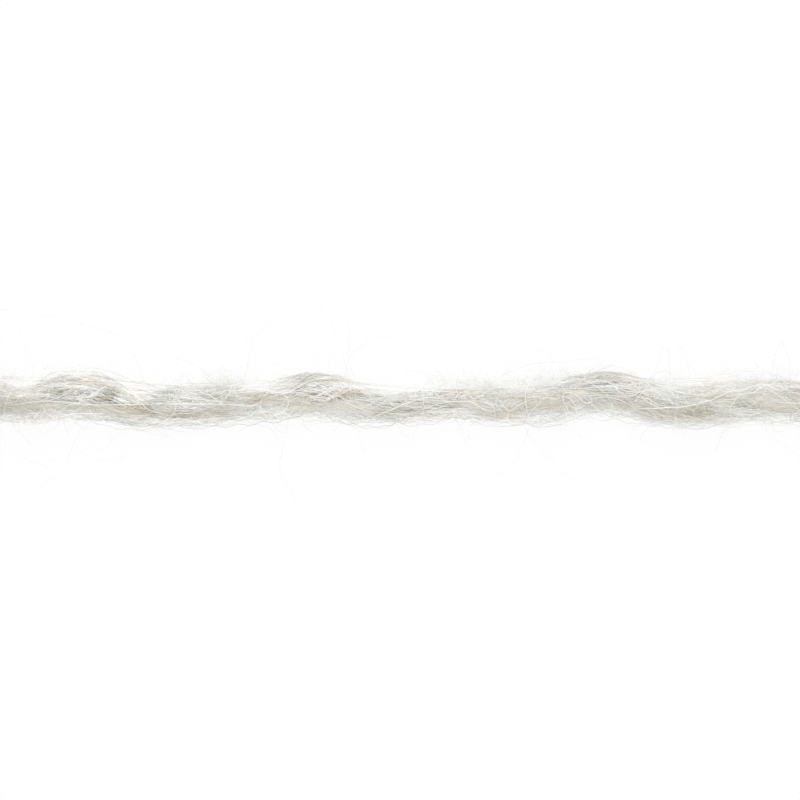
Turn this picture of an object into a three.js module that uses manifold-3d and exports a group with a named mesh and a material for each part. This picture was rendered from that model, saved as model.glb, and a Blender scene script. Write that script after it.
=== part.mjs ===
// A cut length of soft two-ply knitting yarn, lying on a flat surface along X. Millimetres, +Z up, with
// the origin on the surface, under the middle of the strand. A full silky ply and a matt woolly ply lie
// side by side and twist round each other, and both were spun unevenly, thick and thin. The longest of
// the loose fibres stand off the strand on both sides.
import * as THREE from 'three';
import { mergeVertices } from 'three/addons/utils/BufferGeometryUtils.js';
import Module from 'manifold-3d';

const manifold = await Module();
manifold.setup();

const HALF_LENGTH = 32;
// A ply's middle lies this far from the strand's, as a share of the ply's radius
const PLY_OFFSET = 0.53;
// Width over which the fluff of the two plies closes the groove between them
const GROOVE_BLUR = 0.05;
// Fine lumps and the ridges of the fibre locks, from the middle of the surface to its highest points
const LUMP_HEIGHT = 0.03;
const LOCK_RIDGE = 0.025;
const LOCKS_ROUND = 8;
// Sides round the strand and steps along it
const SIDES = 32;
const STEPS = 128;
// A loose fibre. Few sides and steps are enough for so thin a thing.
const FIBRE_THICKNESS = 0.05;
const FIBRE_SIDES = 3;
const FIBRE_STEPS = 12;
const HALVINGS = 30;
// Points closer than this are one
const SAME_POINT = 1e-6;

// The strand from one cut end to the other, in rows about a quarter turn of the twist apart. x is the
// place along the strand, turns is where the silky ply has got to, from the +Y side and up over the
// top, side and height are the strand's middle, and silky and woolly are the two plies' radii.
const SECTIONS = [
  { x: -HALF_LENGTH, turns: -0.58, side: -0.01, height: 1.5, silky: 1.09, woolly: 1.3 },
  { x: -26.5, turns: -0.25, side: -0.33, height: 1.52, silky: 1.13, woolly: 1.2 },
  { x: -22.4, turns: 0, side: 0.13, height: 1.18, silky: 1.09, woolly: 0.89 },
  { x: -18.1, turns: 0.25, side: -0.6, height: 1.38, silky: 1.07, woolly: 1.04 },
  { x: -13.7, turns: 0.5, side: -0.47, height: 1.0, silky: 0.75, woolly: 0.93 },
  { x: -10.0, turns: 0.75, side: -0.32, height: 1.12, silky: 0.82, woolly: 1.02 },
  { x: -6.3, turns: 1, side: 0.2, height: 1.08, silky: 1.13, woolly: 0.81 },
  { x: -1.3, turns: 1.25, side: -0.51, height: 1.12, silky: 0.99, woolly: 0.83 },
  { x: 3.9, turns: 1.5, side: -0.39, height: 0.82, silky: 0.64, woolly: 0.76 },
  { x: 8.9, turns: 1.75, side: -0.42, height: 1.24, silky: 0.94, woolly: 1.15 },
  { x: 14.0, turns: 2, side: 0.53, height: 1.02, silky: 0.93, woolly: 0.93 },
  { x: 19.2, turns: 2.25, side: -0.51, height: 1.58, silky: 1.15, woolly: 1.17 },
  { x: 24.5, turns: 2.5, side: -0.23, height: 1.14, silky: 0.94, woolly: 1.07 },
  { x: 29.0, turns: 2.72, side: -0.16, height: 1.44, silky: 1.06, woolly: 1.12 },
  { x: HALF_LENGTH, turns: 2.86, side: -0.17, height: 1.4, silky: 1.04, woolly: 1.02 },
];

// Loose fibres that stand off the strand, each rooted in its middle. root is the place along the strand,
// bendX and bendY the point towards which the fibre leaves, tipX, tipY and tipZ where it ends. A tip that
// is back in the strand makes an arch.
const LOOSE_FIBRES = [
  { root: -28.4, bendX: -28.0, bendY: -4.2, tipX: -24.2, tipY: -4.9, tipZ: 0.4 },
  { root: -27.6, bendX: -26.5, bendY: -3.4, tipX: -23.8, tipY: -4.6, tipZ: 0.6 },
  { root: -25.5, bendX: -25.6, bendY: 3.0, tipX: -27.0, tipY: 5.6, tipZ: 1.0 },
  { root: -23.8, bendX: -23.2, bendY: -5.6, tipX: -19.0, tipY: -3.7, tipZ: 0.3 },
  { root: -21.7, bendX: -23.0, bendY: -5.6, tipX: -27.3, tipY: -7.3, tipZ: 0.5 },
  { root: -11.8, bendX: -13.0, bendY: 3.8, tipX: -28.0, tipY: 6.4, tipZ: 1.4 },
  { root: -11.2, bendX: -10.7, bendY: 2.4, tipX: -10.8, tipY: 4.3, tipZ: 0.9 },
  { root: -10.9, bendX: -11.2, bendY: 5.2, tipX: -7.8, tipY: 6.1, tipZ: 0.7 },
  { root: -7.0, bendX: -9.6, bendY: -4.6, tipX: -7.1, tipY: -7.3, tipZ: 0.8 },
  { root: -4.3, bendX: -3.4, bendY: 5.8, tipX: 0.0, tipY: 4.0, tipZ: 1.2 },
  { root: -3.8, bendX: -3.1, bendY: -2.3, tipX: -2.4, tipY: -3.7, tipZ: 0.3 },
  { root: -3.4, bendX: -3.6, bendY: 4.2, tipX: -6.2, tipY: 7.3, tipZ: 1.0 },
  { root: -2.8, bendX: -3.9, bendY: 3.6, tipX: -3.6, tipY: 6.2, tipZ: 0.6 },
  { root: 3.5, bendX: 7.2, bendY: -10.0, tipX: 9.3, tipY: -0.6, tipZ: 1.0 },
  { root: 4.6, bendX: 6.2, bendY: 2.6, tipX: 14.1, tipY: 3.0, tipZ: 1.3 },
  { root: 8.0, bendX: 10.0, bendY: -4.6, tipX: 13.0, tipY: -6.0, tipZ: 0.4 },
  { root: 16.8, bendX: 18.4, bendY: 4.4, tipX: 20.6, tipY: -0.3, tipZ: 1.4 },
  { root: 17.5, bendX: 18.6, bendY: 7.6, tipX: 19.1, tipY: -0.3, tipZ: 1.4 },
  { root: 24.0, bendX: 22.8, bendY: -2.0, tipX: 22.1, tipY: -3.6, tipZ: 0.5 },
  { root: 24.9, bendX: 25.4, bendY: -2.6, tipX: 28.0, tipY: -3.9, tipZ: 0.7 },
  { root: 25.9, bendX: 26.8, bendY: 8.6, tipX: 27.4, tipY: -0.1, tipZ: 1.3 },
];

// One column of the table, read smoothly between its rows
function column(name, place) {
  const last = SECTIONS.length - 1;
  const row = Math.min(Math.floor(place), last - 1);
  const t = place - row;
  const [before, from, to, after] = [row - 1, row, row + 1, row + 2].map(
    (at) => SECTIONS[Math.min(Math.max(at, 0), last)][name]
  );
  const rise = to - from;
  const slopeIn = (to - before) / 2;
  const slopeOut = (after - from) / 2;
  const bend = 3 * rise - 2 * slopeIn - slopeOut;
  const curl = slopeIn + slopeOut - 2 * rise;
  return from + slopeIn * t + bend * t ** 2 + curl * t ** 3;
}

function sectionAt(place) {
  const names = Object.keys(SECTIONS[0]);
  return Object.fromEntries(names.map((name) => [name, column(name, place)]));
}

// How far a round ply reaches from the strand's middle, at an angle from the line to its own middle
function plyReach(radius, angle) {
  const offset = PLY_OFFSET * radius;
  return offset * Math.cos(angle) + Math.sqrt(radius ** 2 - (offset * Math.sin(angle)) ** 2);
}

// The larger of two reaches, with the corner between them rounded
function blurredMax(a, b) {
  return Math.max(a, b) + GROOVE_BLUR * Math.log1p(Math.exp(-Math.abs(a - b) / GROOVE_BLUR));
}

// Unevenness of the surface: slow lumps, and the fibre locks as ridges that lie almost along the strand
function unevenness(x, angle, aroundStrand) {
  const lumps = Math.sin(2 * angle + 0.83 * x) + Math.sin(3 * angle - 1.31 * x + 1.7);
  const locks = Math.sin(LOCKS_ROUND * aroundStrand + 0.6 * Math.sin(0.9 * x));
  return (LUMP_HEIGHT * lumps) / 2 + LOCK_RIDGE * locks;
}

// Both plies in one skin: a cylinder whose points turn with the twist and move out to the plies' outline.
// Where the underside meets the surface it is pressed flat.
function twistedPlies() {
  const skin = new THREE.CylinderGeometry(1, 1, 1, SIDES, STEPS);
  const points = skin.getAttribute('position');
  for (let i = 0; i < points.count; i += 1) {
    const section = sectionAt((points.getY(i) + 0.5) * (SECTIONS.length - 1));
    const angle = Math.atan2(points.getX(i), points.getZ(i));
    const aroundStrand = angle + 2 * Math.PI * section.turns;
    const outline = blurredMax(plyReach(section.silky, angle), plyReach(section.woolly, angle + Math.PI));
    const share = Math.hypot(points.getX(i), points.getZ(i));
    const reach = share * (outline + unevenness(section.x, angle, aroundStrand));
    points.setXYZ(
      i,
      section.x,
      section.side + reach * Math.cos(aroundStrand),
      Math.max(0, section.height + reach * Math.sin(aroundStrand))
    );
  }
  return skin;
}

// The section at an x. Its place in the table is found by halving the part that holds it.
function sectionNear(x) {
  let low = 0;
  let high = SECTIONS.length - 1;
  for (let halving = 0; halving < HALVINGS; halving += 1) {
    const middle = (low + high) / 2;
    if (column('x', middle) < x) {
      low = middle;
    } else {
      high = middle;
    }
  }
  return sectionAt(low);
}

// One loose fibre: a thin prism along a single bend, from the middle of the strand to its tip
function looseFibre({ root, bendX, bendY, tipX, tipY, tipZ }) {
  const start = sectionNear(root);
  const path = new THREE.QuadraticBezierCurve3(
    new THREE.Vector3(start.x, start.side, start.height),
    new THREE.Vector3(bendX, bendY, (start.height + tipZ) / 2),
    new THREE.Vector3(tipX, tipY, tipZ)
  );
  const radius = FIBRE_THICKNESS / 2;
  const section = new THREE.Shape(
    Array.from({ length: FIBRE_SIDES }, (_, side) => {
      const angle = (2 * Math.PI * side) / FIBRE_SIDES;
      return new THREE.Vector2(radius * Math.cos(angle), radius * Math.sin(angle));
    })
  );
  return new THREE.ExtrudeGeometry(section, { steps: FIBRE_STEPS, extrudePath: path });
}

// A closed surface as a solid, with the points that its faces share merged
function asSolid(geometry) {
  geometry.deleteAttribute('normal');
  geometry.deleteAttribute('uv');
  const merged = mergeVertices(geometry, SAME_POINT);
  return new manifold.Manifold(
    new manifold.Mesh({
      numProp: 3,
      vertProperties: merged.getAttribute('position').array,
      triVerts: new Uint32Array(merged.getIndex().array),
    })
  );
}

// The strand and its loose fibres joined into one piece
function strandWithFibres() {
  let strand = asSolid(twistedPlies());
  for (const fibre of LOOSE_FIBRES) {
    strand = strand.add(asSolid(looseFibre(fibre)));
  }
  const mesh = strand.getMesh();
  const geometry = new THREE.BufferGeometry();
  geometry.setAttribute('position', new THREE.BufferAttribute(mesh.vertProperties, mesh.numProp));
  geometry.setIndex(new THREE.BufferAttribute(mesh.triVerts, 1));
  geometry.computeVertexNormals();
  return geometry;
}

const yarn = new THREE.Mesh(
  strandWithFibres(),
  new THREE.MeshStandardMaterial({ color: '#dddad3', roughness: 0.75, metalness: 0 })
);
yarn.name = 'yarn_strand';

const group = new THREE.Group();
group.add(yarn);

export default group;
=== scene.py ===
import math

import bmesh
import bpy
import numpy as np
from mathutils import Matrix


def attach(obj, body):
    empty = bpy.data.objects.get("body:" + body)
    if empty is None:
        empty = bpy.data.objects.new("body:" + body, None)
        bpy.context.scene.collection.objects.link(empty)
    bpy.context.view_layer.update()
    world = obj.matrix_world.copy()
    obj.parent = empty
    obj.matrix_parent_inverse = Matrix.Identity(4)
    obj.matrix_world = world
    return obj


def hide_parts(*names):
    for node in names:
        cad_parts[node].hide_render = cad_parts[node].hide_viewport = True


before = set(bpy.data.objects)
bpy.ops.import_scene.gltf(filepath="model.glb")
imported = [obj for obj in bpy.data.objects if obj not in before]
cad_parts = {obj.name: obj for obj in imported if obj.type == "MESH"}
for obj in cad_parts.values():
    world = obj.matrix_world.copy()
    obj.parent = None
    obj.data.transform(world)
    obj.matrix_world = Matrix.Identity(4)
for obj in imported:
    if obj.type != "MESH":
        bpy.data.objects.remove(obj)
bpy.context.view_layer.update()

# Camera
# A long lens looks straight down on the strand, and the picture takes in 56 mm of it. The strand runs
# across the picture, and its +Y side is towards the picture's top.
MM = 0.001
PICTURE_WIDTH = 56.0
LENS = 100.0
SENSOR = 36.0
NEAREST_SEEN = 5.0
MIDDLE_HEIGHT = 1.3


def placed(name, data):
    """An object with that mesh, lamp or camera, in the scene."""
    thing = bpy.data.objects.new(name, data)
    bpy.context.collection.objects.link(thing)
    return thing


camera_data = bpy.data.cameras.new("camera")
camera_data.type = "PERSP"
camera_data.lens = LENS
camera_data.sensor_width = SENSOR
camera_data.clip_start = NEAREST_SEEN * MM
camera = placed("camera", camera_data)
camera.location = (0, 0, (MIDDLE_HEIGHT + PICTURE_WIDTH * LENS / SENSOR) * MM)
bpy.context.scene.camera = camera

# Strand core
# The packed middle of the yarn, where the two plies press on each other. It follows the CAD strand's table
# of sections and fills it almost to its skin, and the fibres of the sections below lie on it and hide it.
SECTION_COLUMNS = ("x", "turns", "side", "height", "silky", "woolly")
SECTIONS = (
    (-32.0, -0.58, -0.01, 1.50, 1.09, 1.30),
    (-26.5, -0.25, -0.33, 1.52, 1.13, 1.20),
    (-22.4, 0.00, 0.13, 1.18, 1.09, 0.89),
    (-18.1, 0.25, -0.60, 1.38, 1.07, 1.04),
    (-13.7, 0.50, -0.47, 1.00, 0.75, 0.93),
    (-10.0, 0.75, -0.32, 1.12, 0.82, 1.02),
    (-6.3, 1.00, 0.20, 1.08, 1.13, 0.81),
    (-1.3, 1.25, -0.51, 1.12, 0.99, 0.83),
    (3.9, 1.50, -0.39, 0.82, 0.64, 0.76),
    (8.9, 1.75, -0.42, 1.24, 0.94, 1.15),
    (14.0, 2.00, 0.53, 1.02, 0.93, 0.93),
    (19.2, 2.25, -0.51, 1.58, 1.15, 1.17),
    (24.5, 2.50, -0.23, 1.14, 0.94, 1.07),
    (29.0, 2.72, -0.16, 1.44, 1.06, 1.12),
    (32.0, 2.86, -0.17, 1.40, 1.04, 1.02),
)
HALF_LENGTH = 32.0
PLY_OFFSET = 0.53
PLY_TURN = {"silky": 0.0, "woolly": 0.5}
ROUTE_STEPS = 1200


def smooth_stretch(before, start, end, after, t):
    """A smooth way from start to end. The points on either side of them give its slopes."""
    slope_in, slope_out, rise = (end - before) / 2, (after - start) / 2, end - start
    bend = 3 * rise - 2 * slope_in - slope_out
    curl = slope_in + slope_out - 2 * rise
    return start + slope_in * t + bend * t**2 + curl * t**3


def smooth_columns():
    """The columns of SECTIONS, read smoothly at even places between its rows."""
    table = np.array(SECTIONS)
    last = len(table) - 1
    place = np.linspace(0, last, ROUTE_STEPS)
    row = np.minimum(place.astype(int), last - 1)
    stops = (table[np.clip(row + k, 0, last)] for k in (-1, 0, 1, 2))
    return dict(zip(SECTION_COLUMNS, smooth_stretch(*stops, (place - row)[:, None]).T))


route = smooth_columns()


def along(column, x):
    return np.interp(x, route["x"], route[column])


def ply_turn(ply, x):
    """The angle at which a ply's middle lies round the strand's: 0 is towards +Y, a quarter turn is up."""
    return 2 * math.pi * (along("turns", x) + PLY_TURN[ply])


def twist(x):
    """How fast the plies turn there, in radians to the millimetre."""
    return np.interp(x, route["x"], 2 * math.pi * np.gradient(route["turns"], route["x"]))


def at(x, y, z):
    return np.stack([x, y, z], axis=-1)


def off_middle(x, y, z):
    """Points that far towards +Y and upwards of the strand's middle line."""
    return at(x, along("side", x) + y, along("height", x) + z)


def on_ply(ply, x, angle, share):
    """The point that far round a ply, at a share of its radius from its middle."""
    radius, turn = along(ply, x), ply_turn(ply, x)
    y = radius * (PLY_OFFSET * np.cos(turn) + share * np.cos(angle))
    z = radius * (PLY_OFFSET * np.sin(turn) + share * np.sin(angle))
    return off_middle(x, y, z)


def skin_reach(x, angle):
    """How far the strand's skin is from its middle, that far round it."""
    reach = 0
    for ply in PLY_TURN:
        radius = along(ply, x)
        off = PLY_OFFSET * radius
        lean = angle - ply_turn(ply, x)
        reach = np.maximum(reach, off * np.cos(lean) + np.sqrt(radius**2 - (off * np.sin(lean)) ** 2))
    return reach


def on_strand(x, angle, out):
    """The point that far round the whole strand, and out millimetres off its skin."""
    reach = skin_reach(x, angle) + out
    return off_middle(x, reach * np.cos(angle), reach * np.sin(angle))


def skin_height(x, y):
    """Height of the strand's upper skin over a place, or the height of its middle beside it."""
    top = along("height", x)
    for ply in PLY_TURN:
        radius = along(ply, x)
        turn = ply_turn(ply, x)
        off = y - along("side", x) - PLY_OFFSET * radius * np.cos(turn)
        ply_top = along("height", x) + PLY_OFFSET * radius * np.sin(turn)
        ply_top = ply_top + np.sqrt(np.clip(radius**2 - off**2, 0, None))
        top = np.maximum(top, np.where(np.abs(off) < radius, ply_top, top))
    return top


def add_columns(names, rows):
    """More columns of the route, read straight between the rows of a table."""
    x, *columns = np.array(rows).T
    for name, values in zip(names[1:], columns):
        route[name] = np.interp(route["x"], x, values)


# Where the yarn is packed tightest, as seen from above: place along the strand, middle and half width.
PACKED_COLUMNS = ("x", "packed_side", "packed_half")
PACKED = (
    (-32.0, -0.40, 0.56),
    (-28.0, -0.42, 0.56),
    (-21.0, -0.40, 0.54),
    (-19.6, -0.77, 0.56),
    (-16.8, -0.74, 0.67),
    (-14.0, -0.64, 0.73),
    (-12.6, -0.44, 0.78),
    (-9.8, -0.18, 0.74),
    (-8.4, -0.24, 0.56),
    (-7.0, -0.10, 0.74),
    (-5.6, -0.16, 0.56),
    (-2.8, -0.36, 0.76),
    (-1.4, -0.66, 0.56),
    (1.4, -0.54, 0.56),
    (4.2, -0.30, 0.56),
    (7.0, -0.44, 0.80),
    (11.2, -0.10, 0.78),
    (12.6, 0.17, 0.92),
    (14.7, 0.42, 1.02),
    (16.8, -0.14, 0.90),
    (18.2, -0.70, 0.72),
    (21.0, -0.72, 0.84),
    (23.8, -0.21, 0.92),
    (32.0, -0.14, 0.86),
)
# How lively the fibres' painted sheen and tints are: place along the strand and share. Fluff dulls them.
LIVELY_COLUMNS = ("x", "lively")
LIVELY = (
    (-32.0, 1.00),
    (-25.0, 0.95),
    (-20.0, 0.90),
    (-14.0, 0.70),
    (-9.0, 0.70),
    (-5.0, 1.00),
    (-2.0, 0.35),
    (8.0, 0.40),
    (14.0, 0.50),
    (20.0, 0.20),
    (32.0, 0.30),
)
add_columns(PACKED_COLUMNS, PACKED)
add_columns(LIVELY_COLUMNS, LIVELY)

# Patches of the yarn as seen from above: x and y of the middle, half length, half width, how much lighter
# or darker the fibres are there, how much warmer or cooler, and the share of them that is missing. The
# lighter and darker values are partly the fibres' own tone and partly painted light: painted shade in the
# hollows between locks and under the silky ply's edges, and painted highlights for the glints on the silky
# crests.
PATCHES = (
    (-27.0, -0.58, 2.2, 0.50, -0.65, 0.1, 0.0),
    (-27.6, 0.80, 1.0, 0.60, -0.55, 0.0, 0.0),
    (-26.0, 1.00, 0.4, 0.45, 0.20, 0.0, 0.3),
    (-25.1, 0.75, 0.7, 0.20, -0.35, 0.3, 0.0),
    (-23.6, 1.50, 0.5, 0.20, -0.20, -0.5, 0.0),
    (-22.9, 0.95, 1.2, 0.10, 0.60, 0.0, 0.0),
    (-23.4, 0.72, 0.7, 0.10, -0.35, -0.4, 0.0),
    (-23.8, 0.42, 0.4, 0.20, -0.40, -0.5, 0.0),
    (-21.9, 1.30, 0.9, 0.30, -0.10, 0.9, 0.0),
    (-22.5, 1.88, 1.4, 0.30, 0.60, 0.0, 0.80),
    (-21.7, 0.88, 0.6, 0.26, 0.55, 0.0, 0.0),
    (-22.0, -0.16, 1.0, 0.14, 0.45, 0.0, 0.0),
    (-24.2, -1.22, 2.4, 0.22, 0.55, 0.0, 0.4),
    (-26.2, 0.00, 0.9, 0.14, -0.15, 1.0, 0.0),
    (-20.1, 0.50, 0.6, 0.26, -0.95, -0.7, 0.0),
    (-20.5, 0.15, 0.6, 0.18, -0.60, 1.6, 0.0),
    (-19.4, 0.05, 0.5, 0.20, 0.45, 0.0, 0.0),
    (-22.3, 0.05, 0.6, 0.20, 0.35, 0.0, 0.0),
    (-19.5, -0.62, 0.5, 0.12, -0.25, 1.4, 0.0),
    (-18.9, -0.30, 0.6, 0.12, 0.25, 0.0, 0.0),
    (-17.6, 0.78, 0.9, 0.45, 0.45, 0.0, 0.5),
    (-20.1, 1.05, 0.6, 0.26, -0.25, 0.2, 0.0),
    (-18.0, -0.75, 1.2, 0.40, -0.50, 0.4, 0.0),
    (-17.4, -0.14, 0.5, 0.14, -0.30, -0.3, 0.0),
    (-15.2, -1.10, 2.1, 0.32, -0.45, 0.1, 0.0),
    (-16.3, 0.35, 0.6, 0.32, -0.35, -0.9, 0.0),
    (-14.4, 0.76, 1.1, 0.30, 0.35, 0.0, 0.1),
    (-14.9, -0.22, 1.2, 0.34, 0.45, 0.1, 0.0),
    (-12.3, -0.80, 0.5, 0.30, -0.15, 0.6, 0.0),
    (-11.9, -0.10, 0.6, 0.20, -0.30, 0.2, 0.0),
    (-9.6, 0.05, 1.0, 0.28, -0.50, 0.8, 0.0),
    (-8.8, 0.60, 0.9, 0.14, 0.50, 0.0, 0.0),
    (-10.6, 0.68, 0.9, 0.24, 0.40, 0.0, 0.0),
    (-12.2, 0.70, 1.3, 0.30, 0.20, 0.0, 0.0),
    (-6.7, 1.36, 0.7, 0.22, -0.50, -0.6, 0.0),
    (-5.4, 1.85, 1.6, 0.16, -0.10, -0.2, 0.3),
    (-5.3, 1.55, 0.3, 0.12, 0.50, 0.0, 0.0),
    (-5.1, 1.37, 0.9, 0.10, -0.40, 0.4, 0.0),
    (-6.1, 1.05, 0.4, 0.18, 0.45, 0.0, 0.0),
    (-4.8, 1.15, 0.5, 0.12, 0.50, 0.0, 0.0),
    (-7.5, 0.40, 0.8, 0.20, 0.25, 0.2, 0.0),
    (-7.6, -0.14, 0.6, 0.16, -0.10, 0.2, 0.0),
    (-5.2, 0.10, 1.2, 0.40, 0.35, 0.4, 0.0),
    (-4.2, -0.75, 1.3, 0.26, 0.35, 0.0, 0.0),
    (-3.7, 0.42, 0.9, 0.28, -0.50, 1.2, 0.0),
    (-2.6, 0.56, 0.6, 0.20, -0.30, 0.7, 0.0),
    (-2.5, 0.15, 0.9, 0.22, -0.25, -0.4, 0.0),
    (-2.8, 0.88, 1.1, 0.10, 0.50, 0.0, 0.0),
    (-1.6, 0.05, 1.6, 0.40, -0.15, -0.3, 0.0),
    (-1.2, -0.95, 1.0, 0.38, -0.40, 0.0, 0.0),
    (-0.8, 0.65, 1.0, 0.50, 0.30, 0.0, 0.6),
    (0.7, -0.86, 1.2, 0.30, -0.40, 0.0, 0.0),
    (4.8, 0.24, 1.3, 0.50, 0.30, 0.0, 0.0),
    (4.9, -0.60, 1.2, 0.26, 0.15, 0.0, 0.0),
    (8.0, 0.12, 1.2, 0.16, -0.35, 0.0, 0.0),
    (7.8, 0.75, 2.4, 0.45, 0.35, -0.3, 0.0),
    (1.9, 0.60, 1.0, 0.40, 0.30, 0.0, 0.5),
    (7.4, -0.80, 1.0, 0.35, -0.20, 0.5, 0.0),
    (10.2, -0.40, 1.5, 0.45, -0.30, 0.5, 0.0),
    (11.3, 1.12, 1.6, 0.35, 0.50, 0.0, 0.5),
    (13.4, 1.35, 1.2, 0.35, 0.25, 0.4, 0.0),
    (14.7, 0.84, 0.6, 0.20, 0.40, 0.0, 0.0),
    (15.3, 1.90, 1.2, 0.12, -0.15, -0.2, 0.1),
    (15.9, 1.15, 0.9, 0.45, 0.25, 0.7, 0.0),
    (15.2, -1.02, 1.4, 0.20, 0.35, 0.0, 0.0),
    (17.4, 0.36, 1.0, 0.45, 0.25, 0.2, 0.1),
    (18.8, 0.75, 1.0, 0.40, 0.20, 0.0, 0.4),
    (19.3, 0.20, 0.9, 0.20, -0.15, -0.5, 0.0),
    (21.6, 0.55, 1.2, 0.26, -0.35, -0.4, 0.0),
    (19.4, 1.15, 2.4, 0.30, 0.40, 0.0, 0.1),
    (21.2, -0.20, 2.0, 0.30, 0.00, -0.2, 0.0),
    (20.5, -0.95, 2.2, 0.45, -0.35, 0.2, 0.0),
    (22.2, -1.48, 1.9, 0.22, -0.45, 0.0, 0.0),
    (24.6, -1.20, 0.9, 0.24, -0.40, 0.0, 0.0),
    (9.1, -0.98, 0.9, 0.24, -0.30, 0.0, 0.0),
    (24.4, -0.10, 1.3, 0.50, -0.20, 0.1, 0.0),
    (27.4, 0.35, 0.7, 0.40, -0.25, 0.0, 0.0),
)
# How far down the strand's side a patch reaches, how much painted light brightens the packed middle's edge
# towards -Y, standing in for light that comes through the thin yarn there, and over what width, and how much
# darker everything else is
PATCH_DEPTH = 0.7
EDGE_PAINTED_LIGHT = 0.34
EDGE_PAINTED_LIGHT_WIDTH = 0.24
SHADE_DOWN = 0.12


def nearness(points, x, y, long, wide):
    """How near points are to the middle of a patch on the yarn's upper side: 1 at it, 0 far off."""
    apart = ((points[..., 0] - x) / long) ** 2 + ((points[..., 1] - y) / wide) ** 2
    upper = np.clip(points[..., 2] - along("height", points[..., 0]) + PATCH_DEPTH, 0, 1)
    return np.exp(-apart) * upper


def in_patches(points):
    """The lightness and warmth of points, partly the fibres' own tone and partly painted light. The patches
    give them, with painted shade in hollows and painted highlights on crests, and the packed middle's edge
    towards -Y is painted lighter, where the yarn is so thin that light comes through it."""
    x = points[..., 0]
    inside = points[..., 1] - along("packed_side", x) + along("packed_half", x)
    lights = EDGE_PAINTED_LIGHT * np.exp(-((inside / EDGE_PAINTED_LIGHT_WIDTH) ** 2)) - SHADE_DOWN
    warmths = np.zeros(x.shape)
    # Each patch adds its lightness, partly the fibres' own tone and partly painted shade and painted
    # highlights
    for *patch, light, warmth, _ in PATCHES:
        near = nearness(points, *patch)
        lights += light * near
        warmths += warmth * near
    return lights, warmths


FIBRE_IOR = 1.55
SCATTER_DEPTH = 0.05
CAST_SIZE = 2.5
CAST_STRENGTH = 0.25
# The stretches of the noises' values that make the dashes and the cast
DASH_VALUES = (0.3, 0.7)
CAST_VALUES = (0.25, 0.75)
COOL_TO_WARM = ((0.0, (0.95, 0.985, 0.97)), (0.5, (1.0, 0.999, 0.996)), (1.0, (1.0, 0.955, 0.88)))
# Each fibre reads its dashes at a place of its own, out of this many
OWN_BEATS = 180
# Roughness where a fibre shines least and where it shines most, as shares of the usual one
DULL, GLOSSY = 1.6, 0.4
SCALE_SIZE = 0.03
SCALE_HEIGHT = 0.004


def set_inputs(node, values):
    """Gives a node's inputs their values, or links them where the value is another node's output."""
    for socket, value in values.items():
        if isinstance(value, bpy.types.NodeSocket):
            node.id_data.links.new(value, node.inputs[socket])
        else:
            node.inputs[socket].default_value = value


def fibre_material(name, shades, dash, roughness, scales, see_through):
    """Off-white fibre. Each has its own tint, which also carries painted light and shade, brightens and dims
    along its length in dashes that are partly its own tone and partly painted sheen, and takes a warm or
    cool cast from the patches and from slow noise. The scales on it are fine bumps."""
    material = bpy.data.materials.new(name)
    material.use_nodes = True
    nodes = material.node_tree.nodes

    def made(kind, output, values, **settings):
        node = nodes.new("ShaderNode" + kind)
        for label, setting in settings.items():
            setattr(node, label, setting)
        set_inputs(node, values)
        return node.outputs[output]

    def number(label):
        return made("Attribute", "Fac", {}, attribute_name=label)

    def ranged(value, low, high, to_low, to_high):
        ends = {"From Min": low, "From Max": high, "To Min": to_low, "To Max": to_high}
        return made("MapRange", "Result", {"Value": value, **ends}, clamp=False)

    def noise(vector, scale, detail):
        return made("TexNoise", "Fac", {"Vector": vector, "Scale": scale, "Detail": detail})

    def both(operation, first, second):
        return made("Math", 0, {0: first, 1: second}, operation=operation)

    def ramp(value, stops):
        colour = made("ValToRGB", "Color", {"Fac": value})
        elements = colour.node.color_ramp.elements
        while len(elements) < len(stops):
            elements.new(1)
        for element, (position, shade) in zip(elements, stops):
            element.position = position
            element.color = (*shade, 1)
        return colour

    place = nodes.new("ShaderNodeTexCoord").outputs["Object"]
    dash_place = ranged(number("run"), 0, dash["length"], 0, 1)
    own_place = ranged(number("own"), 0, 1, 0, OWN_BEATS)
    # The dashes in the colour are partly the fibre's own tone and partly painted sheen; the same noise sets
    # the roughness
    shine = noise(made("CombineXYZ", "Vector", {"X": dash_place, "Y": own_place}), 1, 1)
    dashes = ranged(shine, *DASH_VALUES, -dash["depth"], dash["depth"])
    shade = both("ADD", number("tint"), both("MULTIPLY", dashes, number("lively")))
    slow = noise(place, 1 / (CAST_SIZE * MM), 3)
    cast = ranged(slow, *CAST_VALUES, -CAST_STRENGTH, CAST_STRENGTH)
    warmth = both("ADD", ranged(number("warm"), -1, 1, 0, 1), cast)
    colours = {"Factor": 1, "A": ramp(shade, shades), "B": ramp(warmth, COOL_TO_WARM)}
    bumps = {
        "Strength": scales,
        "Distance": SCALE_HEIGHT * MM,
        "Height": noise(place, 1 / (SCALE_SIZE * MM), 2),
    }
    set_inputs(
        nodes["Principled BSDF"],
        {
            "Base Color": made("Mix", "Result", colours, data_type="RGBA", blend_type="MULTIPLY"),
            "Roughness": ranged(shine, 0, 1, roughness * DULL, roughness * GLOSSY),
            "Normal": made("Bump", "Normal", bumps),
            "IOR": FIBRE_IOR,
            "Subsurface Weight": see_through,
            "Subsurface Radius": (1, 1, 1),
            "Subsurface Scale": SCATTER_DEPTH * MM,
        },
    )
    return material


CORE_SIDES = 40
CORE_STEPS = 420
# The core fills this share of the packed middle's width, and stops this far short of the cuts
CORE_SHARE = 0.96
CORE_SHORT = 0.15
# Ridges of the fibre locks on the core: height as a share of its radius, how many round it, how fast they
# turn along it, and their start
CORE_RIDGES = ((0.02, 9, 0.8, 0), (0.02, 14, -0.5, 1))
# Lumps on it: their height, how fast they turn along it, and how fast they come and go
CORE_LUMPS = (0.03, 1.9, 0.7)
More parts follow.
